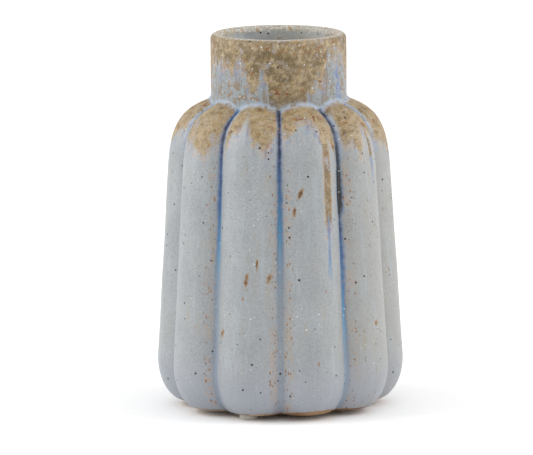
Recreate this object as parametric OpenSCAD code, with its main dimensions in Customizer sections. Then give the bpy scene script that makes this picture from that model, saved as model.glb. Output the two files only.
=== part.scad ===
// Bud vase: one slip-cast stoneware body with ten rounded lobes and a short straight neck,
// a reactive glaze outside, a liner glaze inside, and three stick-on pads under the foot.
// Millimetres. +Z is up, and the origin is on the table under the vase's axis.
//
// The lobed surfaces are all one family: a crest line in the radial plane is turned about the
// axis, and every place between two crests is pushed in from it by a scallop. The clay, the
// glaze and the inside are that surface at different depths below the finished skin, so each
// layer follows the one that carries it.

/* [Overall] */
// Height from the table to the top of the lip
total_h = 160; // [130:1:240]
// Diameter over the lobes at their widest
body_d = 105.2; // [86:0.2:150]
// How much narrower each side is at the shoulder than at the widest place
taper = 5; // [0:0.5:10]

/* [Lobes] */
// Number of lobes
lobes = 10; // [7:1:14]
// Depth of the clay's grooves below the crests, on the side
groove_depth = 6.4; // [2:0.1:8]
// Depth of the grooves where the lobes run into the neck
neck_dip = 3.2; // [1:0.1:5]
// How round a lobe's section is: low is a flat arc, and near 1 is a half circle
roundness = 0.6; // [0.2:0.05:0.9]

/* [Shoulder] */
// Height of the shoulder, from the straight side up to the neck
shoulder_h = 30.2; // [20:0.2:45]
// Fall of the shoulder where it leaves the neck, in degrees below level
shoulder_fall = 18; // [8:1:40]
// How far the side carries on upward before the shoulder turns in, as a share of the shoulder's height
side_pull = 0.6; // [0.3:0.02:0.8]
// How far the shoulder carries on outward from the neck before it turns down, as a share of its width
neck_pull = 0.74; // [0.4:0.02:0.9]

/* [Neck] */
// Outside diameter of the neck over the glaze
neck_d = 58; // [44:0.5:72]
// Height of the neck above the crests' join to it
neck_h = 27.8; // [14:0.2:60]
// Thickness of the neck's clay
neck_wall = 4; // [3:0.1:6]

/* [Casting] */
// Thickness of the clay in the lobed body
body_wall = 4.2; // [3:0.1:6]
// Thickness of the clay floor over the foot
floor_t = 5; // [4:0.1:9]

/* [Foot] */
// Height of the widest place above the foot
belly_h = 20; // [10:0.5:30]
// How far the lobes turn under, from the widest place in to the foot's edge
foot_round = 10.9; // [7:0.1:14]
// Width of the flat foot inside the pads, out to the hollow's edge
foot_margin = 2.5; // [1:0.1:5]
// Depth of the shallow hollow under the foot
hollow_h = 1; // [0.5:0.1:2]
// Width of the hollow's sloped edge
hollow_slope = 3; // [1:0.1:5]

/* [Glaze] */
// Thickness of the reactive glaze on the crests
glaze_t = 0.5; // [0.3:0.05:1]
// Extra glaze that gathers at the bottom of each groove
glaze_pool = 0.5; // [0.1:0.05:1]
// Thickness of the liner glaze
liner_t = 0.5; // [0.3:0.05:1]
// Height of the bare clay band above the foot
bare_h = 0.7; // [0.5:0.1:3]

/* [Pads] */
// Number of pads
pad_count = 3; // [3:1:4]
// Diameter of a pad
pad_d = 8; // [6:0.5:10]
// Thickness of a pad without its adhesive
pad_t = 1.8; // [1:0.1:3]
// Radius of a pad's lower edge
pad_edge_r = 0.5; // [0.2:0.1:0.8]
// Thickness of the adhesive film that holds a pad
adhesive_t = 0.2; // [0.1:0.05:0.4]
// Distance from a pad's outside to the edge of the clay foot
pad_inset = 0.6; // [0.3:0.1:2]
// How far round from their crests the pads are stuck, in degrees
pad_turn = -3.6; // [-6:0.2:6]

/* [Hidden] */

// Steps of the lobed surfaces: even numbers round each lobe, and along the foot's and the shoulder's curves.
outside_steps = 8;
inside_steps = 6;
foot_steps = 5;
shoulder_steps = 8;
// Facets round the neck and the foot's hollow, round the lip and the pads, and round a pad's edge.
neck_facets = 96;
lip_facets = 48;
edge_facets = 24;
circle_handle = 0.55; // a Bezier handle of this share of its side makes a quarter ellipse

// Radii over the crests of the finished vase.
body_r = body_d / 2;
shoulder_r = body_r - taper;
foot_r = body_r - foot_round;
pad_mid_r = foot_r - pad_inset - pad_d / 2;
hollow_r = pad_mid_r - pad_d / 2 - foot_margin;
neck_r = neck_d / 2;

// Heights.
foot_z = pad_t + adhesive_t;
belly_z = foot_z + belly_h;
join_z = total_h - neck_h;
side_top_z = join_z - shoulder_h;
side_dir = unit([shoulder_r - body_r, side_top_z - belly_z]);

// The lip is a half round over the neck's wall and the glaze on both its sides.
lip_r = neck_wall / 2 + glaze_t;
lip_z = total_h - lip_r;
lip_mid_r = neck_r - lip_r;
bore_clay_r = lip_mid_r - neck_wall / 2;
bore_r = bore_clay_r - liner_t;

// Depths of the layers below the finished skin.
clay_inset = glaze_t;
cavity_inset = clay_inset + body_wall;
liner_inset = cavity_inset + liner_t;
cavity_floor_z = foot_z + floor_t;

function unit(v) = v / norm(v);
function bezier(p, t) =
    pow(1 - t, 3) * p[0] + 3 * pow(1 - t, 2) * t * p[1] + 3 * (1 - t) * t * t * p[2] + t * t * t * p[3];
function bezier_run(p, t) =
    pow(1 - t, 2) * (p[1] - p[0]) + 2 * (1 - t) * t * (p[2] - p[1]) + t * t * (p[3] - p[2]);

// A station is [radius, height, angle of the outward normal above level, share of the groove].
function station(curve, t, share) =
    let (point = bezier(curve, t), run = bezier_run(curve, t))
    [point.x, point.y, atan2(-run.x, run.y), share];

// The lobes' turn under the foot, at that inset below the finished skin and with that floor.
function foot_curve(inset, floor_z) =
    let (reach = foot_round - inset, top = [body_r - inset, belly_z])
    [
        [foot_r, floor_z],
        [foot_r + circle_handle * reach, floor_z],
        top - circle_handle * (belly_z - floor_z) * side_dir,
        top,
    ];

// The crest of the shoulder at that inset, from the side up to the neck.
function shoulder_curve(inset) =
    let (
        start = [shoulder_r - inset, side_top_z],
        end = [neck_r, join_z] - inset * [sin(shoulder_fall), cos(shoulder_fall)],
        side_handle = side_pull * (end.y - start.y) * side_dir,
        neck_handle = neck_pull * (start.x - end.x) * [1, -tan(shoulder_fall)]
    )
    [start, start + side_handle, end + neck_handle, end];

// The whole crest line. Its last stretch runs through the neck's surface and ends inside it, at end_r.
function crest(inset, floor_z, end_r) =
    let (
        dip = neck_dip / groove_depth,
        under = foot_curve(inset, floor_z),
        over = shoulder_curve(inset),
        foot = [for (i = [0:foot_steps]) station(under, i / foot_steps, 1)],
        shoulder = [
            for (i = [0:shoulder_steps - 1])
                let (t = i / shoulder_steps) station(over, t, 1 + (dip - 1) * t)
        ],
        join = station(over, 1, dip),
        end_z = join[1] + (join[0] - end_r) * tan(shoulder_fall)
    )
    concat(foot, shoulder, [[end_r, end_z, join[2], dip]]);

// Depth of a lobe's section below its crest, from 0 at the crest to 1 in the groove.
function scallop(u) =
    (1 - sqrt(1 - pow(roundness * u, 2))) / (1 - sqrt(1 - pow(roundness, 2)));

// The grooves are cut level into the side, and turn to cut straight down where they meet the neck.
function cut_angle(normal) = max(0, normal) * 90 / (90 - shoulder_fall);

// One point of a lobed surface. turn is in lobes, counted from a crest.
function lobed_point(s, depth, turn) =
    let (
        u = 2 * (turn - round(turn)),
        cut = depth * s[3] * scallop(u),
        r = s[0] - cut * cos(cut_angle(s[2])),
        z = s[1] - cut * sin(cut_angle(s[2])),
        angle = 360 * turn / lobes
    )
    [r * cos(angle), r * sin(angle), z];

// A closed solid inside the lobed surface that the stations describe.
module lobed_solid(stations, depth, steps) {
    n = lobes * steps;
    top = len(stations) - 1;
    points = concat(
        [for (s = stations, j = [0:n - 1]) lobed_point(s, depth, j / steps)],
        [[0, 0, stations[0][1]], [0, 0, stations[top][1]]]
    );
    floor_mid = n * (top + 1);
    roof_mid = floor_mid + 1;
    walls = [
        for (i = [0:top - 1], j = [0:n - 1])
            let (
                k = (j + 1) % n,
                a = i * n + j,
                b = (i + 1) * n + j,
                c = (i + 1) * n + k,
                d = i * n + k,
                past_crest = j % steps < steps / 2
            )
            each past_crest ? [[a, b, c], [a, c, d]] : [[a, b, d], [b, c, d]]
    ];
    caps = [
        for (j = [0:n - 1])
            let (k = (j + 1) % n)
            each [[floor_mid, j, k], [roof_mid, top * n + k, top * n + j]]
    ];
    polyhedron(points = points, faces = concat(walls, caps), convexity = 6);
}

// The neck as a solid post with a half-round lip, at that inset below the finished skin.
module neck_post(inset) {
    rotate_extrude($fn = neck_facets) {
        translate([0, side_top_z]) square([neck_r - inset, lip_z - side_top_z]);
        intersection() {
            translate([lip_mid_r, lip_z]) circle(r = lip_r - inset, $fn = lip_facets);
            translate([0, lip_z]) square([neck_r, lip_r]);
        }
    }
}

// Everything inside the vase's outer surface, down to the foot.
module outer_form(inset, depth) {
    lobed_solid(crest(inset, foot_z, lip_mid_r), depth, outside_steps);
    neck_post(inset);
}

// Everything inside the vase's inner surface, up to the lip.
module inner_form(inset, floor_z, mouth_r) {
    roof_r = mouth_r - neck_wall;
    lobed_solid(crest(inset, floor_z, roof_r), groove_depth, inside_steps);
    translate([0, 0, side_top_z]) cylinder(r = mouth_r, h = lip_z - side_top_z, $fn = neck_facets);
}

// The fired clay: one casting, with a shallow hollow under its foot so that it can't rock.
module stoneware_body() {
    color("tan") difference() {
        outer_form(clay_inset, groove_depth);
        inner_form(cavity_inset, cavity_floor_z, bore_clay_r);
        // The cone starts as far below the foot as the hollow is deep, so it meets the foot at hollow_r.
        translate([0, 0, foot_z - hollow_h])
            cylinder(r1 = hollow_r + hollow_slope, r2 = hollow_r - hollow_slope, h = 2 * hollow_h,
                     $fn = neck_facets);
    }
}

// The reactive glaze: over the outside and the lip, stopping short of the foot.
module outer_glaze() {
    color("lightsteelblue") difference() {
        outer_form(0, groove_depth - glaze_pool);
        outer_form(clay_inset, groove_depth);
        translate([-body_d, -body_d, 0]) cube([2 * body_d, 2 * body_d, foot_z + bare_h]);
    }
}

// The glaze that seals the inside, from the floor up the bore to the lip.
module liner_glaze() {
    color("slategray") difference() {
        inner_form(cavity_inset, cavity_floor_z, bore_clay_r);
        inner_form(liner_inset, cavity_floor_z + liner_t, bore_r);
    }
}

// Pads are stuck under crests, as evenly round the foot as the lobes allow.
module under_crest(i) {
    crest_number = round((i - 1) * lobes / pad_count);
    rotate(360 * crest_number / lobes + pad_turn) translate([pad_mid_r, 0, 0]) children();
}

// A clear polyurethane pad, rounded at its lower edge.
module foot_pad(i) {
    color("gainsboro") under_crest(i) rotate_extrude($fn = lip_facets) {
        square([pad_d / 2 - pad_edge_r, pad_t]);
        translate([0, pad_edge_r]) square([pad_d / 2, pad_t - pad_edge_r]);
        translate([pad_d / 2 - pad_edge_r, pad_edge_r]) circle(r = pad_edge_r, $fn = edge_facets);
    }
}

// The film of adhesive between a pad and the clay.
module pad_adhesive(i) {
    color("whitesmoke") under_crest(i) translate([0, 0, pad_t])
        cylinder(d = pad_d, h = adhesive_t, $fn = lip_facets);
}

stoneware_body();
outer_glaze();
liner_glaze();
for (i = [1:pad_count]) {
    foot_pad(i);
    pad_adhesive(i);
}
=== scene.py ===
# %% [markdown]
# # A ceramic bud vase
#
# The vase is one slip-cast stoneware body with ten rounded lobes, a coat of reactive glaze outside, a liner glaze
# inside, and three clear pads stuck under the foot. The CAD model is loaded first and stays fixed: it says where
# everything is and how big it is, and each piece made here takes the place of one CAD node.

# %% Load the frame
import math

import bmesh
import bpy
import numpy as np
from mathutils import Matrix, Vector, noise


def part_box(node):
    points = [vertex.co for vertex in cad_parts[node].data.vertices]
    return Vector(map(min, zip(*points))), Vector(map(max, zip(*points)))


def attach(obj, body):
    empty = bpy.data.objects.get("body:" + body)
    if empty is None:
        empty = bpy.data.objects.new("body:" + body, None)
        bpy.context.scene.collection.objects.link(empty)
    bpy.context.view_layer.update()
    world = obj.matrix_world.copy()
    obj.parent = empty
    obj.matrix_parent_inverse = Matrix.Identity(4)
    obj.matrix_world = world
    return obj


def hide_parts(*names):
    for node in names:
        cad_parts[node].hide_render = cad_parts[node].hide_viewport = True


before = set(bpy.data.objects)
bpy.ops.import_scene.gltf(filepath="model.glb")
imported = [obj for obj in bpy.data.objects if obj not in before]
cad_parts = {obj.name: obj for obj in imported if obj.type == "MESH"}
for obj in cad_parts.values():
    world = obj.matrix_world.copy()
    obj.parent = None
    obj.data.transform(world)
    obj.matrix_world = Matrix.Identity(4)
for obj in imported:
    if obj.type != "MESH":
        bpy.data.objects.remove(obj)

MM = 0.001
for start_object in [bpy.data.objects.get(name) for name in ("Cube", "Light", "Camera")]:
    if start_object:
        bpy.data.objects.remove(start_object)
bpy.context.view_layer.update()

# %% [markdown]
# ## Sizes
#
# The boxes of the CAD nodes give the outer sizes of each layer, so nothing is measured twice: the widest radius, the
# lip, the thickness of each glaze, the cavity's floor and where the pads stand.

# %% Measure the layers
glaze_low, glaze_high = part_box("outer_glaze")
clay_low, clay_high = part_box("stoneware_body")
liner_low, liner_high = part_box("liner_glaze")
pad_low, pad_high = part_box("foot_pad_1")

body_r = glaze_high.x
foot_z = clay_low.z
lip_z = liner_high.z
lip_r = glaze_high.z - lip_z
glaze_t = glaze_high.z - clay_high.z
cavity_inset = body_r - liner_high.x
cavity_floor_z = liner_low.z
glaze_edge_z = glaze_low.z
pad_r = (pad_high.x - pad_low.x) / 2
pad_middle = (pad_low + pad_high) / 2
pad_mid_r = math.hypot(pad_middle.x, pad_middle.y)
print(f"widest radius {body_r / MM:.1f}, glaze {glaze_t / MM:.2f}, lip radius {lip_r / MM:.2f} mm")

# %% [markdown]
# A box can't tell how the crest line of a lobe runs between those limits. So the sizes that shape it are written down
# again here, with the names that they have in the CAD, and in metres.

# %% Write down the crest line's sizes
LOBES = 10
taper = 5 * MM
groove_depth = 6.4 * MM
glaze_pool = 0.5 * MM
neck_dip = 3.2 * MM
roundness = 0.6
neck_r = 29 * MM
join_z = glaze_high.z - 27.8 * MM
shoulder_h = 30.2 * MM
shoulder_fall = math.radians(18)
side_pull = 0.6
neck_pull = 0.74
belly_z = foot_z + 20 * MM
foot_round = 10.9 * MM
liner_t = 0.5 * MM
foot_margin = 2.5 * MM
hollow_r = pad_mid_r - pad_r - foot_margin
hollow_slope = 3 * MM
hollow_h = 1 * MM
print(f"{LOBES} lobes, grooves {groove_depth / MM:.1f} mm deep, foot hollow {hollow_r / MM:.1f} mm in radius")

# %% [markdown]
# ## The crest line
#
# A lobe is easiest to think of as clay thrown round and then pressed in between the crests. So the crest line is
# drawn first, in the plane through the axis, and every station on it also carries how far the groove is pressed in
# there, and in which direction. One line serves all the layers, each at its own depth below the finished skin.

# %% Draw the crest line
QUARTER_ROUND = 0.55  # length of the handles that make a cubic Bezier close to a quarter of a circle
FILLET = 1.8 * MM
FILLET_STEPS = 14
ARCH_FADE = 7 * MM  # height over which the neck loses the dip of the grooves
FOOT_STEPS = 40
SHOULDER_STEPS = 60
ARCH_STEPS = 30

foot_r = body_r - foot_round
shoulder_r = body_r - taper
side_top = np.array([shoulder_r, join_z - shoulder_h])
side_dir = side_top - [body_r, belly_z]
side_dir /= np.linalg.norm(side_dir)


def bezier(corners, count):
    """Points along a cubic Bezier curve, and the direction that it runs in at each."""
    t = np.linspace(0, 1, count)[:, None]
    a, b, c, d = (np.asarray(corner, float) for corner in corners)
    point = (1 - t) ** 3 * a + 3 * (1 - t) ** 2 * t * b + 3 * (1 - t) * t * t * c + t**3 * d
    run = (1 - t) ** 2 * (b - a) + 2 * (1 - t) * t * (c - b) + t * t * (d - c)
    return point, run / np.linalg.norm(run, axis=1)[:, None]


def line(start, end, down=math.pi / 2, cut=0.0, count=2):
    """A straight stretch of stations. Each is a radius, a height, the direction of the cut and its depth."""
    t = np.linspace(0, 1, count)[:, None]
    point = (1 - t) * np.asarray(start) + t * np.asarray(end)
    return np.column_stack([point, np.full(count, down), np.full(count, cut)])


def arc(centre, radius, start, end, count=24):
    """Stations round part of a lip, where no groove reaches. Its angles are above level, in degrees."""
    turn = np.radians(np.linspace(start, end, count))
    point = np.column_stack([centre[0] + radius * np.cos(turn), centre[1] + radius * np.sin(turn)])
    return np.column_stack([point, np.full(count, math.pi / 2), np.zeros(count)])


def soften(stations, corner):
    """Rounds the inside corner between the lobes and the neck, as slip and glaze fill it."""
    near = np.flatnonzero(np.linalg.norm(stations[:, :2] - corner, axis=1) < FILLET)
    before, after = stations[near[0] - 1], stations[near[-1] + 1]
    t = np.linspace(0, 1, FILLET_STEPS)[:, None]
    middle = np.append(corner, (before[2:] + after[2:]) / 2)
    bend = (1 - t) ** 2 * before + 2 * (1 - t) * t * middle + t * t * after
    return np.vstack([stations[: near[0] - 1], bend, stations[near[-1] + 2 :]])


def crest(inset, floor_z, neck_radius, depth):
    """Stations up one crest, from the foot to the lip's height, at that inset below the finished skin."""
    top = np.array([body_r - inset, belly_z])
    handle = QUARTER_ROUND * (foot_round - inset)
    rise = QUARTER_ROUND * (belly_z - floor_z) * side_dir
    foot, _ = bezier([[foot_r, floor_z], [foot_r + handle, floor_z], top - rise, top], FOOT_STEPS)
    foot = np.column_stack([foot, np.zeros(FOOT_STEPS), np.full(FOOT_STEPS, depth)])

    start = side_top - [inset, 0]
    end = np.array([neck_r, join_z]) - inset * np.array([math.sin(shoulder_fall), math.cos(shoulder_fall)])
    pull_up = side_pull * (end[1] - start[1]) * side_dir
    pull_out = neck_pull * (start[0] - end[0]) * np.array([1, -math.tan(shoulder_fall)])
    curve, run = bezier([start, start + pull_up, end + pull_out, end], SHOULDER_STEPS)
    down = np.maximum(np.arctan2(-run[:, 0], run[:, 1]), 0) * (math.pi / 2) / (math.pi / 2 - shoulder_fall)
    dip = depth * neck_dip / groove_depth
    shoulder = np.column_stack([curve, down, np.linspace(depth, dip, SHOULDER_STEPS)])

    join = np.array([neck_radius, end[1] + (end[0] - neck_radius) * math.tan(shoulder_fall)])
    above = join + [0, ARCH_FADE]
    arch = line(join, above, cut=dip, count=ARCH_STEPS)[1:]
    fade = np.linspace(0, 1, ARCH_STEPS - 1)
    arch[:, 3] *= 1 - fade * fade * (3 - 2 * fade)
    stretches = [foot, shoulder, line(end, join, cut=dip, count=8)[1:], arch, line(above, [neck_radius, lip_z])[1:]]
    return soften(np.vstack(stretches), join)


def lengths(stations):
    """Distance along the stations, from the first."""
    steps = np.linalg.norm(np.diff(stations[:, :2], axis=0), axis=1)
    return np.concatenate([[0], np.cumsum(steps)])


def above_height(stations, height):
    """The stations from that height up, with one exactly at it."""
    first = np.flatnonzero(stations[:, 1] > height)[0]
    low, high = stations[first - 1], stations[first]
    start = low + (high - low) * (height - low[1]) / (high[1] - low[1])
    return np.vstack([start, stations[first:]])


skin = above_height(crest(0, foot_z, neck_r, groove_depth - glaze_pool), glaze_edge_z)
print(f"crest line: {len(skin)} stations, {lengths(skin)[-1] / MM:.0f} mm long")

# %% [markdown]
# ## Turning and pressing
#
# Each layer starts as a profile, which the spin operator turns about the axis into a surface of revolution. Then
# every vertex is pressed in by the scallop of its groove. The columns are gathered towards the grooves, because
# that is where the surface bends most. A slow, shallow noise goes into all the layers alike, because a cast vase
# that has been sponged by hand is never quite even.

# %% Turn a profile and press its grooves
GATHER = 0.33  # how strongly the columns crowd towards the grooves
POOL_ROUND = 0.035  # share of half a lobe over which a groove's bottom is rounded
HAND = 0.16 * MM
HAND_WAVES = 2.4
HAND_SWEEP = 22 * MM
SHARP = math.radians(60)
WELD = 0.001 * MM


def scallop(across):
    """Share of the groove's depth, from 0 on a crest to 1 in a groove, whose bottom the glaze rounds."""
    near = 1 - np.abs(across)
    near = np.sqrt(near**2 + POOL_ROUND**2) - POOL_ROUND
    return (1 - np.sqrt(1 - (roundness * (1 - near)) ** 2)) / (1 - math.sqrt(1 - roundness**2))


def hand_wobble(angle, height):
    """A slow unevenness, always inwards, the same for every layer at one place."""
    places = np.column_stack([np.cos(angle) * HAND_WAVES, np.sin(angle) * HAND_WAVES, height / HAND_SWEEP])
    return HAND * np.array([noise.noise(Vector(place)) - 1 for place in places])


def layer(name, stations, marks, columns_per_lobe=16, closed=False, creep=None):
    """Spins a profile and presses its grooves. Returns the mesh and what each vertex knows of its place.

    marks are the distances along the stations that get a vertex. creep moves vertices along the profile: it takes
    their angle and distance and returns the new distance.
    """
    along = lengths(stations)
    bm = bmesh.new()
    mark = bm.verts.layers.float.new("along")
    verts = [bm.verts.new((r, 0, z)) for r, z in zip(*(np.interp(marks, along, stations[:, i]) for i in (0, 1)))]
    for vert, distance in zip(verts, marks):
        vert[mark] = distance
    edges = [bm.edges.new(pair) for pair in zip(verts, verts[1:] + verts[:closed])]
    columns = LOBES * columns_per_lobe
    bmesh.ops.spin(bm, geom=verts + edges, cent=(0, 0, 0), axis=(0, 0, 1), angle=math.tau, steps=columns,
                   use_merge=True)

    angle = np.array([math.atan2(v.co.y, v.co.x) for v in bm.verts])
    place = np.array([v[mark] for v in bm.verts])
    turn = angle / math.tau * LOBES
    across = 2 * (turn - np.round(turn))
    across = across * (1 + GATHER) - GATHER * across**3
    angle = (np.round(turn) + across / 2) * math.tau / LOBES
    if creep:
        place = creep(angle, place)
    r, z, down, cut = (np.interp(place, along, stations[:, i]) for i in range(4))
    cut = cut * scallop(across)
    on_axis = r < 0.01 * MM
    r = r - cut * np.cos(down) + np.where(on_axis, 0, hand_wobble(angle, z)) * np.minimum(1, r / neck_r)
    z = z - cut * np.sin(down)
    for vert, ri, zi, ai in zip(bm.verts, r, z, angle):
        vert.co = (ri * math.cos(ai), ri * math.sin(ai), zi)
    mesh = bpy.data.meshes.new(name)
    bm.to_mesh(mesh)
    bm.free()
    mesh.attributes.remove(mesh.attributes["along"])
    return mesh, {"angle": angle, "along": place, "z": z}


def finish_piece(name, mesh, slot, *nodes):
    """Closes seams and poles, turns the faces outwards, and gives the piece its place in the frame."""
    bm = bmesh.new()
    bm.from_mesh(mesh)
    bmesh.ops.remove_doubles(bm, verts=bm.verts, dist=WELD)
    bmesh.ops.recalc_face_normals(bm, faces=bm.faces)
    open_edges = sum(not edge.is_manifold for edge in bm.edges)
    volume = bm.calc_volume(signed=True)
    if volume < 0:
        bmesh.ops.reverse_faces(bm, faces=bm.faces)
    bm.to_mesh(mesh)
    bm.free()
    mesh.shade_smooth()
    mesh.set_sharp_from_angle(angle=SHARP)
    piece = bpy.data.objects.new(name, mesh)
    bpy.context.scene.collection.objects.link(piece)
    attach(piece, "root")
    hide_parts(*nodes)
    triangles = sum(len(p.vertices) - 2 for p in mesh.polygons)
    print(f"{name}: {triangles} triangles, {open_edges} open edges, {abs(volume) / MM**3 / 1000:.1f} cm3")
    return piece


def evenly(stretch, spacing):
    """Distances from the first to the last of a stretch, evenly spaced, both ends included."""
    start, end = stretch
    return np.linspace(start, end, max(2, round((end - start) / spacing) + 1))


# %% [markdown]
# ## The clay body
#
# The clay shows only where the glaze stops: a thin band above the foot, and the underside. It is still a whole
# casting with a foot ring, a shallow hollow and a cavity. Its profile starts on the axis under the foot and ends
# on the axis on the cavity's floor, and the two poles are closed by merging the vertices that meet there.

# %% Cast the clay body
clay_skin = crest(glaze_t, foot_z, neck_r - glaze_t, groove_depth)
lip_centre = [neck_r - lip_r, lip_z]
clay_lip = arc(lip_centre, lip_r - glaze_t, 0, 180)
bore_r = clay_lip[-1, 0]
cavity = crest(cavity_inset, cavity_floor_z, bore_r, groove_depth)
hollow_top = foot_z + hollow_h
underside = np.vstack([
    line([0, hollow_top], [hollow_r - hollow_slope, hollow_top]),
    line([hollow_r, foot_z], [foot_r, foot_z], down=0)[:1],
])
underside[:, 2] = 0
floor_middle = line([0, cavity_floor_z], [0, cavity_floor_z])[:1]
clay = np.vstack([underside, clay_skin, clay_lip[1:], cavity[::-1], floor_middle])
clay_length = lengths(clay)
foot_start = clay_length[len(underside)]
corners_under = clay_length[[1, 2, 3]]
marks = np.concatenate([
    evenly([0, clay_length[-1]], 1.6 * MM),
    corners_under,
    evenly([foot_start, foot_start + 12 * MM], 0.5 * MM),
])
clay_mesh, _ = layer("clay_body", clay, np.unique(marks))
clay_body = finish_piece("clay_body", clay_mesh, "stoneware", "stoneware_body")

# %% [markdown]
# ## The reactive glaze coat
#
# The coat is a thin closed shell: up the outside from just above the foot, over the lip, and back down against the
# clay. Its lower edge creeps up and down a little round the vase, as a dipped and wiped glaze does. On one side the
# sponge went higher, and left a wider patch of bare clay.

# %% Dip the glaze coat
EDGE_CREEP = 1.6 * MM
BARE_PATCH = 2.0 * MM
PATCH_ANGLE = -68
PATCH_SPREAD = 20
EDGE_REACH = 9 * MM

inner_skin = above_height(clay_skin, glaze_edge_z)
coat = np.vstack([skin, arc(lip_centre, lip_r, 0, 180)[1:], clay_lip[::-1], inner_skin[::-1][1:]])
skin_length = lengths(skin)[-1]
lip_end = skin_length + math.pi * lip_r
coat_length = lengths(coat)[-1]


def noise_round(angle, waves, seed):
    """Noise that runs once round the vase and meets itself. More waves make it finer."""
    return np.array([noise.noise(Vector((math.cos(a) * waves, math.sin(a) * waves, seed))) for a in angle])


def ridge(distance, middle, half):
    """1 where the distance is at that middle, and falling off smoothly over that half width."""
    return np.exp(-(((distance - middle) / half) ** 2))


def creep_edge(angle, place):
    """Moves both sides of the coat's lower edge up the clay, by EDGE_CREEP at most and by more at the bare patch."""
    slow, fine = noise_round(angle, 3.1, 4.7), noise_round(angle, 14, 8.3)
    rise = EDGE_CREEP * np.clip(0.5 + 0.9 * slow + 0.5 * fine, 0, 1)
    rise += BARE_PATCH * ridge(np.degrees(angle), PATCH_ANGLE, PATCH_SPREAD)
    from_start = np.clip(1 - place / EDGE_REACH, 0, 1)
    from_end = np.clip(1 - (coat_length - place) / EDGE_REACH, 0, 1)
    return place + rise * (from_start - from_end)


marks = np.concatenate([
    evenly([0, 2 * MM], 0.3 * MM),
    evenly([2 * MM, skin_length], 0.86 * MM),
    evenly([skin_length, lip_end], 0.5 * MM),
    evenly([lip_end + glaze_t, lip_end + math.pi * lip_r], 0.8 * MM),
    evenly([lip_end + math.pi * lip_r, coat_length - EDGE_REACH], 6 * MM),
    evenly([coat_length - EDGE_REACH, coat_length], 1 * MM),
])
coat_mesh, where = layer("glaze_coat", coat, np.unique(marks), columns_per_lobe=36, closed=True, creep=creep_edge)
print(f"coat: {len(coat_mesh.vertices)} vertices, {skin_length / MM:.0f} mm up the outside to the lip")

# %% [markdown]
# ## Where the glaze breaks and pools
#
# A reactive glaze has no edges drawn on it. It breaks to brown where it ran thin over the shoulder and the neck,
# and gathers thick and blue in the creases. Noise alone can't do that, because it doesn't know where a lobe or a
# crease is. So each vertex is told its place on the pot in millimetres: how far above the brown's lower edge, how
# far from the nearest crease, how far from the arch where lobe meets neck. The material then turns those distances
# into colour, and adds all the fine detail with noise.
#
# Azimuths are in degrees from the front, and grow to the right. The front half's runs are listed one by one, and the
# back half's are drawn from a seeded generator.

# %% Map the brown glaze
FLOW_R = 45 * MM
LOW_TONE_Z = 118  # below this height a run darkens, and rust dusts the creases
NO_TAIL = 20.0
TAIL_TONE = 0.6
TAIL_LAP = 5  # how far a blue tail reaches up beside the end of its run
CREASE_STEP = 360 / LOBES
rng = np.random.default_rng(11)

azimuth = (np.degrees(where["angle"]) + 90 + 180) % 360 - 180
height = where["z"] / MM
radius = np.hypot(*(np.array([v.co[i] for v in coat_mesh.vertices]) for i in (0, 1))) / MM


def ease(value, points):
    """Reads a height at each azimuth, easing from one chosen point to the next."""
    at, level = np.array(sorted(points)).T
    step = np.clip(np.searchsorted(at, value, side="right") - 1, 0, len(at) - 2)
    t = np.clip((value - at[step]) / (at[step + 1] - at[step]), 0, 1)
    return level[step] + (level[step + 1] - level[step]) * t * t * (3 - 2 * t)


def back_runs(high, low):
    """Runs round the back, as azimuths and heights: a notch up to high, then a tip down to low, and so on."""
    places = np.append(np.arange(110, 242, 12.0), 250)
    places[1:-1] += rng.uniform(-4, 4, len(places) - 2)
    runs = []
    for start, end in zip(places[:-1], places[1:]):
        share = rng.uniform(0.3, 0.7)
        runs += [(start, rng.uniform(*high)), (start + share * (end - start), rng.uniform(*low))]
    return [((place + 180) % 360 - 180, level) for place, level in runs]


# The brown's lower edge on the lobes and on the neck: azimuth, and height in mm.
lobe_edge = [(-104, 115), (-90, 114), (-76, 121), (-66, 117), (-56, 118), (-50, 114), (-44, 113), (-38, 117),
             (-32, 116), (-26, 123), (-20, 128), (-14, 119), (-8, 115), (-2, 121), (5, 121), (12, 126), (18, 129),
             (22, 124), (30, 118), (33, 112), (37, 121), (42, 116), (45, 119), (48, 113), (54, 123), (62, 118),
             (68, 121), (80, 114), (92, 110), (104, 113)]
neck_edge = [(-104, 142), (-90, 140), (-80, 141), (-72, 149), (-62, 150), (-52, 149), (-47, 148), (-44, 142),
             (-41, 149), (-35, 151), (-31, 147), (-25, 138), (-19, 139), (-15, 147), (-10, 145), (-7, 128),
             (-4, 108), (22, 108), (24, 138), (33, 142), (42, 142), (45, 154), (56, 153), (62, 155), (68, 151),
             (76, 142), (88, 140), (104, 144)]
# Runs that went further: azimuth, half width in degrees, and the heights where the run and its blue tail end.
drips = [(25.8, 2.3, 84, 58), (56, 1.3, 107, 97), (172, 1.4, 92, 78), (-128, 1.5, 96, 82)]

join_along = lengths(skin)[np.argmin(np.linalg.norm(skin[:, :2] - [neck_r, join_z], axis=1))]
from_arch = (where["along"] - join_along) / MM
on_neck = from_arch > 0
above_lobes = height - ease(azimuth, lobe_edge + back_runs((119, 124), (108, 117)))
above_neck = height - ease(azimuth, neck_edge + back_runs((146, 154), (128, 143)))
onto_neck = np.clip(from_arch / 1.2 + 0.3, 0, 1)
above_edge = above_lobes + (np.clip(above_neck, -12, 30) - above_lobes) * onto_neck

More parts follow.
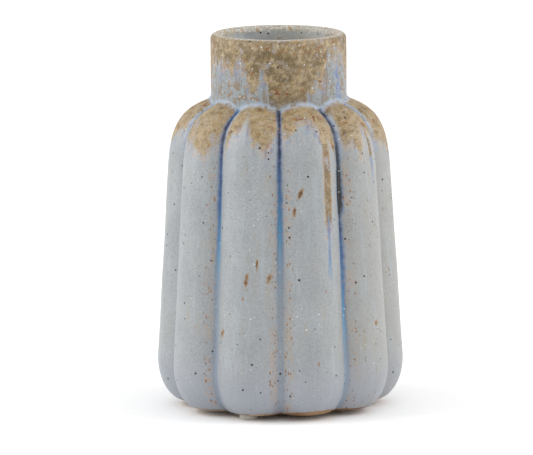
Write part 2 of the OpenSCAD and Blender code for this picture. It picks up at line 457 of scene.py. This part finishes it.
tail = np.full(len(height), NO_TAIL)
tail_tone = np.zeros(len(height))
run = np.zeros(len(height))
for middle, half, low, tail_low in drips:
    off = np.abs(azimuth - middle)
    inside = np.minimum((half - off) * 5, (height - low) / 1.5)
    above_edge = np.where(on_neck, above_edge, np.maximum(above_edge, np.clip(inside, -20, 9)))
    run = np.maximum(run, np.clip(inside, 0, 1) * (height < LOW_TONE_Z))
    under = (off < 2.5 * half) & (height < low + TAIL_LAP) & (height > tail_low)
    tail = np.where(under, np.radians(off) * radius + 0.5, tail)
    fade = np.clip(np.minimum((low + TAIL_LAP - height) / 6, (height - tail_low) / 14), 0, 1)
    tail_tone = np.where(under, TAIL_TONE * fade, tail_tone)
print(f"brown glaze covers {np.mean(above_edge > 0):.0%} of the vertices")

# %% [markdown]
# The creases carry a tone as well, from 0 where no glaze has gathered, through blue, to 1 where it is so thick that
# it fires almost black. It falls down each crease, because the glaze ran down it and the flow gave out. Each entry is
# a height in millimetres and the tone there. A crease is known by its azimuth.

# %% Map the creases
front_pools = {
    0: [(10, 0.12), (50, 0.14), (64, 0.24), (78, 0.42), (90, 0.54), (102, 0.64), (116, 0.84), (131, 0.88)],
    -36: [(10, 0.16), (56, 0.2), (68, 0.34), (78, 0.5), (90, 0.62), (106, 0.7), (116, 0.84), (124, 0.86),
          (131, 0.5)],
    36: [(10, 0.18), (28, 0.24), (40, 0.36), (58, 0.55), (74, 0.66), (82, 0.82), (88, 0.95), (96, 1.0), (108, 0.94),
         (131, 0.9)],
    -72: [(10, 0.08), (100, 0.1), (118, 0.3), (131, 0.5)],
    72: [(10, 0.08), (100, 0.12), (118, 0.5), (131, 0.7)],
}
bead_side = {0: 0, -36: 1, 36: 1, -72: -1, 72: 1}  # 1 is right of the crease, -1 left, and 0 neither
crease_number = np.round(azimuth / CREASE_STEP)
crease = np.radians(azimuth - crease_number * CREASE_STEP) * radius
pool = np.zeros(len(crease))
side = np.zeros(len(crease))
for number in range(-4, 6):
    middle = round(number * CREASE_STEP)
    here = (crease_number == number) | ((number == 5) & (crease_number == -5))
    falls = front_pools.get(middle)
    if not falls:
        top, end = rng.uniform(0.55, 0.95), rng.uniform(60, 95)
        falls = [(10, 0.16), (end - 15, 0.3), (end, 0.55 * top), (end + 25, top), (131, top)]
    pool[here] = np.interp(height[here], *zip(*falls))
    side[here] = bead_side.get(middle, rng.choice([-1, 1]))
print(f"deepest tone in the front creases: {[max(t for _, t in falls) for falls in front_pools.values()]}")

# %% [markdown]
# A pale bead of glaze stands where the lobes meet the neck, and runs down beside most creases for a little way. Lower
# down the glaze crawled back from the creases, on one side or on both, and left a dusting of rust. Both are ridges at
# a distance from their crease in millimetres.

# %% Map the beads and the dusting
BEAD_LOW_Z = 108
dusty_side = {0: 0, -36: -1, 36: 1, -72: 1, 72: -1}  # 1 is right of the crease, -1 left, and 0 both
arch_bead = ridge(from_arch, 0.1, 1.15)
beside = np.where(side == 0, np.abs(crease), crease * side)
beside_bead = np.abs(side) * ridge(beside, 1.6, 0.8) * np.clip((height - BEAD_LOW_Z) / 14, 0, 1) * (from_arch < 1)
bead = np.maximum(arch_bead, beside_bead)
dusty = np.array([dusty_side.get(round(n * CREASE_STEP), 1) for n in crease_number])
beside = np.where(dusty == 0, np.abs(crease), crease * dusty)
dusty = ridge(beside, 3.2, 1.7) * np.clip((LOW_TONE_Z - height) / 20, 0, 1)
crease = np.minimum(np.abs(crease), tail)
pool = np.where(tail < NO_TAIL, tail_tone, pool)
print(f"bead on {np.mean(bead > 0.5):.0%} and dusting on {np.mean(dusty > 0.5):.0%} of the vertices")

# %% [markdown]
# A few iron grains were big enough to melt into rusty tears. Each is an azimuth, a height, a half width and a half
# height in millimetres, and how far it leans. Their map is 0 in a tear's middle and 1 at its rim. The last maps are
# plain distances: from the coat's lower edge, and along the lip. Then everything is painted on the vertices.

# %% Map the rust tears and the edges, and paint them all
rust_runs = [(-16.5, 61, 0.75, 2.9, 0.1), (-11.5, 68.4, 0.5, 3.0, -0.1), (-5.6, 62.4, 0.95, 1.9, 0.3),
             (11, 97.8, 0.8, 2.2, 0.4), (7.5, 89.3, 0.6, 2.6, 0.2), (52, 40, 0.9, 1.2, 0.0), (-30, 38, 0.8, 1.8, 0.1),
             (-16.3, 108, 0.35, 4.0, 0.0), (148, 70, 0.7, 2.6, 0.1), (-160, 52, 0.8, 2.0, 0.2)]
FAR_OFF = 4.0
rust = np.full(len(height), FAR_OFF)
for middle, level, half_width, half_height, lean in rust_runs:
    off = np.radians(azimuth - middle) * radius - lean * (height - level)
    rust = np.minimum(rust, np.hypot(off / half_width, (height - level) / half_height))

along = where["along"]
hem = np.minimum(along, coat_length - along) / MM
lip = (along - skin_length) / MM
lip = np.where(along > lip_end + lip_r, -20, lip)


def paint(mesh, **values):
    """Stores values by name at the vertices, for a material's Attribute nodes to read."""
    for name, value in values.items():
        kind, field = ("FLOAT_VECTOR", "vector") if value.ndim == 2 else ("FLOAT", "value")
        mesh.attributes.new(name, kind, "POINT").data.foreach_set(field, value.astype(np.float32).ravel())


flow_place = np.column_stack([FLOW_R * np.cos(where["angle"]), FLOW_R * np.sin(where["angle"]), along])
paint(coat_mesh, flow=flow_place, brown=above_edge, crease=crease, pool=pool, bead=bead, rust=rust, hem=hem,
      lip=lip, neck=np.clip(from_arch / 1.5, 0, 1), dusty=dusty, run=run)
glaze_coat = finish_piece("glaze_coat", coat_mesh, "reactive_glaze", "outer_glaze")

# %% [markdown]
# ## The liner glaze
#
# The liner is poured in and swirled round, so it is an even coat over the floor, the cavity and the bore, up to the
# lip, where it meets the outer coat.

# %% Pour the liner
liner_skin = crest(cavity_inset + liner_t, cavity_floor_z + liner_t, bore_r - liner_t, groove_depth)
floor_out = line([0, cavity_floor_z], [foot_r, cavity_floor_z], down=0)[:1]
floor_in = line([0, cavity_floor_z + liner_t], [foot_r, cavity_floor_z + liner_t], down=0)[:1]
liner = np.vstack([floor_out, cavity, liner_skin[::-1], floor_in])
liner_length = lengths(liner)
rim = liner_length[[len(cavity), len(cavity) + 1]]
marks = np.unique(np.concatenate([evenly([0, liner_length[-1]], 1.8 * MM), rim]))
liner_mesh, _ = layer("liner_coat", liner, marks)
liner_coat = finish_piece("liner_coat", liner_mesh, "liner_glaze", "liner_glaze")

# %% [markdown]
# ## Pads and their adhesive
#
# The pads are the clear stick-on bumpers sold for glassware: a low polyurethane disc with a rounded lower edge, on a
# film of adhesive. Each is a short cone with no taper, and a bevel rounds the edge that meets the table. There are
# only three, so each is its own piece.

# %% Stick on the pads
pad_edge = 0.5 * MM


def disc(name, node, slot, edge=0.0):
    """A round disc that fills its CAD node's box, with its lower edge rounded by that radius."""
    low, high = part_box(node)
    bm = bmesh.new()
    place = Matrix.Translation((low + high) / 2)
    bmesh.ops.create_cone(bm, cap_ends=True, segments=96, radius1=(high.x - low.x) / 2, radius2=(high.x - low.x) / 2,
                          depth=high.z - low.z, matrix=place)
    if edge:
        rim = [e for e in bm.edges if all(v.co.z < low.z + edge / 2 for v in e.verts)]
        bmesh.ops.bevel(bm, geom=rim, offset=edge, segments=6, profile=0.5, affect="EDGES", material=-1)
    mesh = bpy.data.meshes.new(name)
    bm.to_mesh(mesh)
    bm.free()
    return finish_piece(name, mesh, slot, node)


pads = [disc(f"bumper_{i}", f"foot_pad_{i}", "pad", pad_edge) for i in (1, 2, 3)]
films = [disc(f"adhesive_film_{i}", f"pad_adhesive_{i}", "adhesive") for i in (1, 2, 3)]

# %% [markdown]
# ## Building materials
#
# Colours are written as sRGB hex, as a colour picker gives them, and one function turns them to the linear values
# that the shaders compute with. Another adds a node, sets it and links it, so that a material reads as a list of
# what the surface is made of.

# %% Turn colours and add nodes
def linear(code):
    """An sRGB hex colour as linear red, green, blue and alpha."""
    srgb = [int(code[i : i + 2], 16) / 255 for i in (0, 2, 4)]
    return [c / 12.92 if c <= 0.04045 else ((c + 0.055) / 1.055) ** 2.4 for c in srgb] + [1]


def wire(tree, node, links):
    """Gives each named socket a value, a hex colour, or the node or socket that drives it."""
    for name, value in links.items():
        usable = [socket for socket in node.inputs if socket.enabled]
        socket = usable[name] if isinstance(name, int) else next(s for s in usable if s.name == name)
        if isinstance(value, bpy.types.Node):
            value = next(output for output in value.outputs if output.enabled)
        if isinstance(value, bpy.types.NodeSocket):
            tree.links.new(value, socket)
        else:
            socket.default_value = linear(value) if isinstance(value, str) else value


def add(tree, kind, links=None, stops=(), **settings):
    """Adds a shader node with its settings, its colour stops and its links."""
    node = tree.nodes.new("ShaderNode" + kind)
    for name, value in settings.items():
        setattr(node, name, value)
    if stops:
        elements = node.color_ramp.elements
        elements[0].position, elements[1].position = stops[0][0], stops[-1][0]
        for position, _ in stops[1:-1]:
            elements.new(position)
        for element, (_, tint) in zip(elements, stops):
            element.color = linear(tint)
    wire(tree, node, links or {})
    return node


print("Stoneware grey in linear light:", [round(c, 3) for c in linear("8D9194")])

# %% [markdown]
# A real surface is a base with coats over it: a wash where the glaze ran thin, a bleed where iron came through, a
# grain of sand. So a colour is laid in coats. Each coat has a tint, a strength, and the things that it follows. A
# thing is a mask, or a pattern with the two values between which the coat goes from bare to whole.

# %% Lay colour in coats
def new_material(name, **sockets):
    """A material with its shader's constant values set, its node tree, and Object coordinates."""
    material = bpy.data.materials.new(name)
    material.use_nodes = True
    tree = material.node_tree
    wire(tree, tree.nodes["Principled BSDF"], {key.replace("_", " "): value for key, value in sockets.items()})
    return material, tree, add(tree, "TexCoord").outputs["Object"]


def overlap(tree, strength, *follows):
    """A mask that is as high as strength where everything that it follows is whole."""
    mask = strength
    for follow in follows:
        if isinstance(follow, tuple):
            pattern, bare, whole = follow
            follow = add(tree, "MapRange", {"Value": pattern, "From Min": bare, "From Max": whole},
                         interpolation_type="SMOOTHSTEP")
        mask = add(tree, "Math", {0: mask, 1: follow}, operation="MULTIPLY")
    return mask


def lay_coats(tree, colour, coats):
    """Lays coats of colour, each a tint, its strength and what it follows, over a base colour."""
    for tint, strength, *follows in coats:
        mask = overlap(tree, strength, *follows)
        colour = add(tree, "Mix", {"Factor": mask, "A": colour, "B": tint}, data_type="RGBA")
    print(f"{len(coats)} coats laid")
    return colour


def dress(material, colour, roughness, relief, depth):
    """Gives a material's shader its colour, its roughness, and its relief as a bump of that depth."""
    tree = material.node_tree
    bump = add(tree, "Bump", {"Distance": depth, "Height": relief})
    wire(tree, tree.nodes["Principled BSDF"], {"Base Color": colour, "Roughness": roughness, "Normal": bump})
    print(f"{material.name}: {len(tree.nodes)} nodes")


# %% [markdown]
# ## Specks and pits
#
# Iron specks are grains scattered through the clay and the glaze, and the surface cuts through them. A 3D Voronoi
# pattern does the same thing: its seeds are scattered in space, and a sphere round each seed is cut by the surface
# into discs of many sizes. The same function makes the specks, the rusty bleeds, and the pinholes whose near-white
# colour is a painted glint.

# %% Scatter specks
def specks(tree, place, cell, grain_r, share, soft=0.3):
    """A mask of discs up to grain_r in radius, from the given share of seeds that lie about a cell apart."""
    seeds = add(tree, "TexVoronoi", {"Vector": place, "Scale": 1 / cell})
    chance = add(tree, "SeparateColor", {"Color": seeds.outputs["Color"]})
    chosen = add(tree, "Math", {0: chance, 1: 1 - share}, operation="GREATER_THAN")
    size = add(tree, "MapRange", {"Value": chance, "From Min": 1 - share, "To Min": 0.25 * grain_r / cell,
                                  "To Max": grain_r / cell})
    size = add(tree, "Math", {0: size, 1: chosen}, operation="MULTIPLY")
    depth = add(tree, "Math", {0: size, 1: seeds.outputs["Distance"]}, operation="SUBTRACT")
    return overlap(tree, 1, (depth, 0, soft * grain_r / cell))


# %% [markdown]
# ## The reactive glaze
#
# The glaze is a satin stoneware glaze with rutile and iron in it. Thick, it is a milky grey-blue. Thin, over the
# lip and the shoulder, the iron in the clay breaks through as tan and olive. Where the two meet it streaks, because
# it was molten and ran down.
#
# Its patterns come from eight noises. Five of them lie in space and have no direction. The streaks, blots and patches
# are read along the flow, so that they stretch down the pot as the glaze did. The finest is the grain. A real glaze's
# crystals are a few tenths of a millimetre across, too fine to show, so the grain is drawn at 0.8 mm.

# %% Read the map and make the patterns
glaze, tree, place = new_material("Satin reactive stoneware glaze, dipped and fired", IOR=1.52)
told = {name: add(tree, "Attribute", attribute_name=name).outputs["Fac"]
        for name in ("brown", "crease", "pool", "bead", "rust", "hem", "lip", "neck", "dusty", "run")}
flow = add(tree, "Attribute", attribute_name="flow").outputs["Vector"]
runny = add(tree, "Mapping", {"Vector": flow, "Scale": (1, 1, 1 / 9)})
dripping = add(tree, "Mapping", {"Vector": flow, "Scale": (1, 1, 1 / 2.2)})
across_x, _, above_table = add(tree, "SeparateXYZ", {"Vector": place}).outputs

# Each pattern is a space, a size in millimetres, the noise's detail and its roughness.
patterns = [(place, 14, 3, 0.6), (place, 2.4, 4, 0.65), (place, 0.8, 2, 0.8), (runny, 2.6, 3, 0.6),
            (dripping, 6, 5, 0.7), (dripping, 9, 3, 0.6), (place, 5, 5, 0.7), (place, 3, 4, 0.65)]
cloud, mottle, grain, streak, blot, patch, thinning, rusting = (
    add(tree, "TexNoise", {"Vector": space, "Scale": 1 / (size * MM), "Detail": detail, "Roughness": roughness})
    for space, size, detail, roughness in patterns
)
print(f"{len(patterns)} patterns, the finest {min(size for _, size, _, _ in patterns)} mm")

# %% [markdown]
# The brown's edge is where the painted distance crosses zero, once three of the patterns have pushed it up and down
# by some millimetres. The pools in the creases have wavering edges for the same reason.

# %% Find the edges of the brown and of the pools
edge = told["brown"]
neck_mottle = add(tree, "Math", {0: mottle, 1: told["neck"]}, operation="MULTIPLY")
neck_mottle = add(tree, "Math", {0: told["neck"], 1: -0.5, 2: neck_mottle}, operation="MULTIPLY_ADD")
edge = add(tree, "Math", {0: neck_mottle, 1: 16, 2: edge}, operation="MULTIPLY_ADD")
for pattern, reach in ((streak, 3), (mottle, 9), (blot, 11)):
    centred = add(tree, "Math", {0: pattern, 1: 0.5}, operation="SUBTRACT")
    edge = add(tree, "Math", {0: centred, 1: reach, 2: edge}, operation="MULTIPLY_ADD")
brown = overlap(tree, 1, (edge, -2.6, 2.4))
below_edge = overlap(tree, 1, (edge, 2, -1))

pool_depth = add(tree, "MapRange", {"Value": told["pool"], "From Min": 0.2, "From Max": 0.55, "To Min": 2.7,
                                    "To Max": 2.3})
thickest = overlap(tree, 1, (told["pool"], 0.9, 1))
for pattern, share in ((streak, -1.2), (mottle, -1.8), (told["crease"], -1), (thickest, 0.8)):
    pool_depth = add(tree, "Math", {0: pattern, 1: share, 2: pool_depth}, operation="MULTIPLY_ADD")
off_neck = overlap(tree, 1, (told["neck"], 0.5, 0), (told["pool"], 0, 0.5))
pooled = overlap(tree, 1, (pool_depth, -0.2, 0.7), off_neck)
rust_edge = told["rust"]
for pattern, share in ((mottle, 3.0), (grain, 1.0)):
    centred = add(tree, "Math", {0: pattern, 1: 0.5}, operation="SUBTRACT")
    rust_edge = add(tree, "Math", {0: centred, 1: share, 2: rust_edge}, operation="MULTIPLY_ADD")
pool_tint = add(tree, "ValToRGB", {"Fac": told["pool"]},
                [(0.1, "7D8A96"), (0.3, "6E90A4"), (0.45, "417FA2"), (0.62, "2A5682"), (0.8, "17284A"),
                 (0.95, "1F2220")])
print(f"{len(tree.nodes)} nodes up to the edges")

# %% [markdown]
# Then the specks: black iron, finer dust, rust beads that hang beside the creases, orange bleeds, and pinholes
# where gas left the glaze, painted near white as small glints of light. Most are smaller than a millimetre.

# %% Scatter the glaze's specks
iron = specks(tree, place, 4.0 * MM, 0.62 * MM, 0.85)
dust = specks(tree, place, 1.7 * MM, 0.32 * MM, 0.7)
rust_beads = specks(tree, dripping, 1.0 * MM, 0.42 * MM, 0.9)
bleed = specks(tree, dripping, 4.6 * MM, 0.55 * MM, 0.6)
# Pinholes: real pits in the glaze, with their near-white colour a painted glint.
pinholes_and_glints = specks(tree, place, 1.8 * MM, 0.44 * MM, 0.55)
pin_share = add(tree, "Math", {0: overlap(tree, 1, (cloud, 0.48, 0.62)), 1: told["neck"]}, operation="MAXIMUM")
pits_and_glints = overlap(tree, 1, pinholes_and_glints, pin_share)
foot_line = add(tree, "Math", {0: mottle, 1: -1.6, 2: told["hem"]}, operation="MULTIPLY_ADD")
print(f"{len(tree.nodes)} nodes with the specks")

# %% [markdown]
# The thick glaze is the base: one ramp tints its clouds, another its grain, and the two are mixed half and half. The
# coats over it belong to three places, which the comments name.

# %% Lay the thick glaze
thick = add(tree, "ValToRGB", {"Fac": cloud}, [(0.32, "84888B"), (0.5, "8E9294"), (0.68, "979B9D")])
grainy = add(tree, "ValToRGB", {"Fac": grain}, [(0.32, "7C7F81"), (0.5, "8E9294"), (0.68, "A1A4A6")])
base = add(tree, "Mix", {"Factor": 0.5, "A": thick, "B": grainy}, data_type="RGBA")
neck = told["neck"]
thick_glaze = lay_coats(tree, base, [
    # The lobes: warmer to the right, cooler at the foot, with faint runs, and dusty beside the creases.
    ("93918A", 0.5, (across_x, 5 * MM, 45 * MM)),
    ("8F939E", 0.6, (above_table, 34 * MM, 6 * MM)),
    ("8F8672", 0.5, (streak, 0.54, 0.7), (cloud, 0.4, 0.6)),
    ("98A0A6", 0.35, (streak, 0.46, 0.34)),
    ("A28C7A", 0.5, (told["dusty"], 0.1, 0.7), (mottle, 0.44, 0.55), (blot, 0.42, 0.54)),
    # The neck: greyer, mottled pale, blue and violet, then tan and grey.
    ("7A8488", 0.8, neck),
    ("9A9F9F", 0.8, neck, (mottle, 0.48, 0.38)),
    ("6B7895", 0.4, neck, (patch, 0.48, 0.38), (mottle, 0.42, 0.54)),
    ("4A5A94", 0.6, neck, (patch, 0.4, 0.34), (mottle, 0.46, 0.54)),
    ("75664E", 0.8, neck, (streak, 0.52, 0.6), (blot, 0.44, 0.54)),
    ("7A6446", 0.85, neck, (mottle, 0.49, 0.56), (patch, 0.38, 0.48)),
    ("5B5A60", 0.5, neck, (mottle, 0.44, 0.38)),
    # Just below the brown: a blue halo with peach and mauve in it.
    ("7389A6", 0.85, below_edge, (edge, -9, -1), (streak, 0.44, 0.62), (mottle, 0.34, 0.56)),
    ("A89484", 0.6, below_edge, (edge, -7, -1), (rusting, 0.46, 0.54)),
    ("6B5C66", 0.8, below_edge, (edge, -5, -0.5), (streak, 0.5, 0.62), (mottle, 0.4, 0.55)),
])

# %% [markdown]
# The brown lies over that. It is tan where the glaze is thinnest and olive where a little more of it stayed, and it
# is dirtied with rust, sand and soot at three sizes.

# %% Lay the brown and the lip
tan = add(tree, "ValToRGB", {"Fac": thinning},
          [(0.36, "65522F"), (0.43, "7F6B47"), (0.5, "978464"), (0.57, "A08E6E"), (0.64, "8F8272")])
tan_grain = add(tree, "ValToRGB", {"Fac": mottle},
                [(0.36, "5C4A2C"), (0.44, "826C46"), (0.54, "9A8562"), (0.64, "A2906C")])
tan = add(tree, "Mix", {"Factor": 0.5, "A": tan, "B": tan_grain}, data_type="RGBA")
lip_top = overlap(tree, 1, (told["lip"], 1.8, 3.4))
broken_glaze = lay_coats(tree, thick_glaze, [
    (tan, 1, brown),
    # Darker olive on the neck, darkest low down, and along the runs.
    ("6B5733", 0.5, brown, neck, (mottle, 0.6, 0.46)),
    ("574726", 0.7, brown, neck, (cloud, 0.56, 0.44), (thinning, 0.56, 0.46)),
    ("52452B", 0.5, brown, neck, (above_table, 141 * MM, 133 * MM)),
    ("5F4A26", 0.7, brown, told["run"]),
    # Pale and mauve patches, sand and soot, then rust in two tones.
    ("A09488", 0.4, brown, (rusting, 0.46, 0.38)),
    ("8E8C94", 0.6, brown, (patch, 0.54, 0.62), (rusting, 0.5, 0.44)),
    ("B0A996", 0.3, brown, (grain, 0.56, 0.7)),
    ("3D301B", 0.6, brown, (grain, 0.44, 0.3)),
    ("84501F", 0.75, brown, (rusting, 0.57, 0.64), (cloud, 0.44, 0.54)),
    ("5A2E12", 0.8, brown, (rusting, 0.62, 0.67), (cloud, 0.44, 0.54)),
    # The lip, where the glaze drew thin and the sand stands out.
    ("9B978C", 1, lip_top),
    ("9A7F58", 0.8, lip_top, (blot, 0.48, 0.56)),
    ("C6C6C2", 1, lip_top, (grain, 0.5, 0.64)),
    ("33291F", 0.7, lip_top, (grain, 0.38, 0.3)),
])

# %% [markdown]
# Last come the things that sit on top: the pale bead where lobes meet the neck, the pools, and every kind of speck.

# %% Lay the pools and the specks
glaze_colour = lay_coats(tree, broken_glaze, [
    ("93A6BC", 0.75, told["bead"], (mottle, 0.36, 0.5)),
    # The pools: a blue margin, then the tint that goes with their depth.
    ("4F6A94", 0.7, off_neck, (pool_depth, -0.9, 0.2)),
    (pool_tint, 1, pooled),
    # Rust beads beside the creases and on the right flank, then the tears and their dark hearts.
    ("7A5432", 0.9, rust_beads, (told["dusty"], 0.05, 0.5), (blot, 0.36, 0.42), (mottle, 0.42, 0.5)),
    ("7A664A", 0.7, rust_beads, (across_x, 22 * MM, 34 * MM), (blot, 0.48, 0.56)),
    ("85602B", 0.85, (rust_edge, 1.5, 0.8)),
    ("3A2110", 0.85, (rust_edge, 0.8, 0.4)),
    # Bleeds, the clay's tint along the lower edge, dust, iron, and pinholes painted near white as glints.
    ("8A5D34", 0.75, bleed, (grain, 0.3, 0.5)),
    ("4F3A24", 0.9, (foot_line, 0.6, -0.4)),
    ("5F5044", 0.7, dust, (grain, 0.3, 0.5)),
    ("221F1D", 1, iron),
    ("C9CCCC", 1, pits_and_glints),
])

# %% [markdown]
# Satin glaze has a roughness of about 0.4. The brown is drier, because little glaze is left there, and the pools
# are glossier. The relief is in millimetres: specks stand proud by a tenth, and pinholes sink in a little more.

# %% Set the glaze's gloss and relief
gloss = 0.38
for mask, share in ((brown, 0.1), (pooled, -0.12), (mottle, 0.12)):
    gloss = add(tree, "Math", {0: mask, 1: share, 2: gloss}, operation="MULTIPLY_ADD")
relief = 0.0
for mask, rise in ((mottle, 0.16), (grain, 0.08), (pits_and_glints, -0.15), (iron, 0.08), (brown, 0.06)):
    relief = add(tree, "Math", {0: mask, 1: rise, 2: relief}, operation="MULTIPLY_ADD")
dress(glaze, glaze_colour, gloss, relief, MM)
glaze_coat.data.materials.append(glaze)

# %% [markdown]
# ## The clay
#
# The clay shows only under the foot. Bare stoneware is matt and sandy, cast in plaster and fired without glaze, and
# one side is more toasted than the other, where the kiln's flame touched it. Its sand is finer than half a
# millimetre, and is drawn at 0.8 mm so that it shows.

# %% Mix the clay
stoneware, tree, place = new_material("Stoneware, slip cast and fired bare")
toast = add(tree, "TexNoise", {"Vector": place, "Scale": 1 / (22 * MM), "Detail": 3})
clay_x = add(tree, "SeparateXYZ", {"Vector": place}).outputs["X"]
toast = add(tree, "Math", {0: clay_x, 1: 1 / (160 * MM), 2: toast}, operation="MULTIPLY_ADD")
sand = add(tree, "TexNoise", {"Vector": place, "Scale": 1 / (0.8 * MM), "Detail": 3, "Roughness": 0.7})
clay_tint = add(tree, "ValToRGB", {"Fac": toast}, [(0.25, "AE9981"), (0.5, "99795A"), (0.75, "85603D")])
clay_tint = lay_coats(tree, clay_tint, [
    ("6B4B30", 0.5, (sand, 0.46, 0.36)),
    ("B8A084", 0.4, (sand, 0.58, 0.7)),
    ("33241A", 1, specks(tree, place, 2.4 * MM, 0.4 * MM, 0.6)),
])
rough = add(tree, "MapRange", {"Value": sand, "To Min": 0.78, "To Max": 0.98})
dress(stoneware, clay_tint, rough, sand, 0.15 * MM)
clay_body.data.materials.append(stoneware)

# %% [markdown]
# ## The liner
#
# The liner is a thinner, smoother pour of the pale glaze. It is satin, with brown clouds where it thinned and a few
# iron specks. Its grain is as fine as the coat's, and is drawn at 0.9 mm.

# %% Mix the liner
liner_glaze, tree, place = new_material("Satin liner glaze, poured and fired", IOR=1.52)
liner_cloud = add(tree, "TexNoise", {"Vector": place, "Scale": 1 / (9 * MM), "Detail": 4, "Roughness": 0.6})
liner_grain = add(tree, "TexNoise", {"Vector": place, "Scale": 1 / (0.9 * MM), "Detail": 3})
liner_tint = add(tree, "ValToRGB", {"Fac": liner_cloud},
                 [(0.3, "8E9293"), (0.46, "A2A5A5"), (0.56, "ABA9A2"), (0.66, "8B7758")])
liner_tint = lay_coats(tree, liner_tint, [
    ("C0C2C0", 0.7, (liner_grain, 0.54, 0.68)),
    ("26201C", 1, specks(tree, place, 3.6 * MM, 0.6 * MM, 0.8)),
])
rough = add(tree, "MapRange", {"Value": liner_cloud, "To Min": 0.28, "To Max": 0.5})
dress(liner_glaze, liner_tint, rough, liner_grain, 0.08 * MM)
liner_coat.data.materials.append(liner_glaze)

# %% [markdown]
# ## The pads and their films
#
# Soft polyurethane is cast clear, but it is never clean: it is milky, slightly warm, and holds dust.

# %% Cast the pads
soft_pad, tree, place = new_material("Polyurethane, cast clear and soft", IOR=1.49, Transmission_Weight=0.35)
milk = add(tree, "TexNoise", {"Vector": place, "Scale": 1 / (3 * MM), "Detail": 3})
pad_tint = add(tree, "ValToRGB", {"Fac": milk}, [(0.35, "C9C2B9"), (0.55, "DAD4CC"), (0.7, "E4DFD9")])
pad_tint = lay_coats(tree, pad_tint, [("8A7E72", 1, specks(tree, place, 1.4 * MM, 0.16 * MM, 0.6))])
rough = add(tree, "MapRange", {"Value": milk, "To Min": 0.18, "To Max": 0.42})
dress(soft_pad, pad_tint, rough, milk, 0.04 * MM)
for piece in pads:
    piece.data.materials.append(soft_pad)

# %% [markdown]
# The adhesive behind each pad is a clear acrylic film, a little yellow, with small air bubbles caught in it.

# %% Cast the films
film, tree, place = new_material("Acrylic adhesive, cast film", IOR=1.47, Transmission_Weight=0.2)
haze = add(tree, "TexNoise", {"Vector": place, "Scale": 1 / (1.6 * MM), "Detail": 3})
bubbles = specks(tree, place, 1.1 * MM, 0.22 * MM, 0.5)
film_tint = add(tree, "ValToRGB", {"Fac": haze}, [(0.35, "CFC8BC"), (0.65, "E0DBD2")])
film_tint = lay_coats(tree, film_tint, [("F0EEEA", 1, bubbles)])
rough = add(tree, "MapRange", {"Value": haze, "To Min": 0.3, "To Max": 0.55})
dress(film, film_tint, rough, bubbles, 0.03 * MM)
for piece in films:
    piece.data.materials.append(film)

# %% [markdown]
# ## The camera
#
# The vase is shot from well back with a long lens, which keeps its sides from leaning. The camera looks down a
# little, so the mouth reads as a thin ellipse, and it is rolled by less than half a degree.

# %% Set the camera
AIM = Vector((-5.6 * MM, 0, 76.1 * MM))
DISTANCE = 2358 * MM
LOOK_DOWN = math.radians(9.04)
ROLL = math.radians(-0.4)
LENS_MM = 373
scene = bpy.context.scene


def place_object(name, data, turn):
    """Adds an object to the scene with its place and turn in one matrix."""
    thing = bpy.data.objects.new(name, data)
    scene.collection.objects.link(thing)
    thing.matrix_world = turn
    return thing


lens = bpy.data.cameras.new("camera")
lens.lens = LENS_MM
stand = AIM + DISTANCE * Vector((0, -math.cos(LOOK_DOWN), math.sin(LOOK_DOWN)))
turn = Matrix.Rotation(math.pi / 2 - LOOK_DOWN, 4, "X") @ Matrix.Rotation(ROLL, 4, "Z")
scene.camera = place_object("camera", lens, Matrix.Translation(stand) @ turn)
print("Camera stands at, m:", [round(x, 3) for x in stand])

# %% [markdown]
# ## The light and the floor
#
# A white room lights the vase evenly from all round. Two large softboxes, one each side and a little above, make
# the flanks of each lobe brighter than the part that faces the camera. The floor is a plain pale sheet.

# %% Light the room and lay the floor
ROOM_STRENGTH = 0.9
SOFTBOX_SIZE = 2.5
SOFTBOX_REACH = 2.8
SOFTBOX_HEIGHT = 1.6
SOFTBOX_FORWARD = 0.2
SOFTBOX_WATTS = {-1: 66, 1: 62}
LIT_HEIGHT = 80 * MM
FLOOR_SIZE = 20

room = bpy.data.worlds.new("studio")
room.use_nodes = True
wire(room.node_tree, room.node_tree.nodes["Background"], {"Color": (1, 1, 1, 1), "Strength": ROOM_STRENGTH})
scene.world = room
scene.view_settings.view_transform = "Standard"

for side, watts in SOFTBOX_WATTS.items():
    softbox = bpy.data.lights.new("softbox", "AREA")
    softbox.energy = watts
    softbox.size = SOFTBOX_SIZE
    stand = Vector((side * SOFTBOX_REACH, -SOFTBOX_FORWARD, SOFTBOX_HEIGHT))
    turn = (Vector((0, 0, LIT_HEIGHT)) - stand).to_track_quat("-Z", "Y").to_matrix().to_4x4()
    place_object("softbox", softbox, Matrix.Translation(stand) @ turn)

bm = bmesh.new()
bmesh.ops.create_grid(bm, x_segments=1, y_segments=1, size=FLOOR_SIZE)
sheet = bpy.data.meshes.new("floor")
bm.to_mesh(sheet)
bm.free()
paper, tree, place = new_material("Seamless paper, matt")
fibre = add(tree, "TexNoise", {"Vector": place, "Scale": 1 / (4 * MM), "Detail": 3})
paper_tint = add(tree, "ValToRGB", {"Fac": fibre}, [(0.3, "F6F6F6"), (0.7, "F9F9F9")])
dress(paper, paper_tint, 0.9, fibre, 0.02 * MM)
sheet.materials.append(paper)
place_object("floor", sheet, Matrix())
